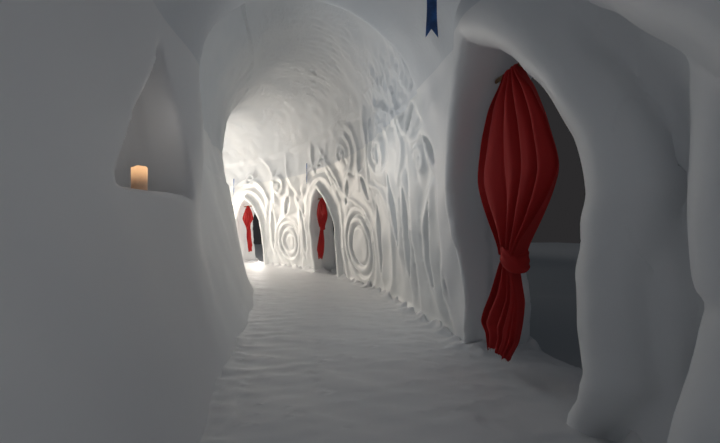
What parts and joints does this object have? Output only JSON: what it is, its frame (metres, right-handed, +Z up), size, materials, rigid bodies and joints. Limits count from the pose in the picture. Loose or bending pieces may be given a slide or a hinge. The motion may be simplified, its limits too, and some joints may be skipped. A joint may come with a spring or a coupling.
{
  "type": "igloo snow passage with curtained doorways",
  "caption": "Curved vaulted snow passage of an igloo with arched doorways, red knotted curtains and a candle niche.",
  "frame": {"origin": "middle of the underside of the whole passage", "axes": "+Y ahead along the straight run from the near end, +X to the side with the doorways, +Z up"},
  "size_m": [7.0722, 16.2982, 4.7],
  "materials": {
    "snow_smooth": "smooth packed snow",
    "snow_carved": "carved packed snow",
    "snow_floor": "trodden snow",
    "red_cloth": "plain woven cloth",
    "rod_wood": "raw",
    "candle_wax": "wax",
    "wick": "charred cotton",
    "blue_ribbon": "woven ribbon"
  },
  "bodies": {
    "root": {"left_wall_near": "snow_smooth", "niche_wall": "snow_smooth", "left_wall_straight": "snow_smooth", "left_wall_bend_1": "snow_smooth", "left_wall_bend_2": "snow_smooth", "vault_near": "snow_smooth", "vault_straight": "snow_smooth", "vault_bend_1": "snow_smooth", "vault_bend_2": "snow_smooth", "near_pier": "snow_smooth", "door_head_1": "snow_smooth", "door_arch_1": "snow_smooth", "door_arch_2": "snow_smooth", "door_arch_3": "snow_smooth", "pier_column": "snow_smooth", "pier_swag": "snow_smooth", "carved_wall_1": "snow_carved", "carved_wall_2": "snow_carved", "carved_wall_3": "snow_carved", "end_pier": "snow_carved", "door_head_2": "snow_carved", "door_head_3": "snow_carved", "floor_near": "snow_floor", "floor_straight": "snow_floor", "floor_bend_1": "snow_floor", "floor_bend_2": "snow_floor", "curtain_1": "red_cloth", "curtain_2": "red_cloth", "curtain_3": "red_cloth", "curtain_rod_1": "rod_wood", "curtain_rod_2": "rod_wood", "curtain_rod_3": "rod_wood", "candle": "candle_wax", "candle_wick": "wick", "ribbon_1": "blue_ribbon", "ribbon_2": "blue_ribbon", "ribbon_3": "blue_ribbon"}
  },
  "joints": []
}
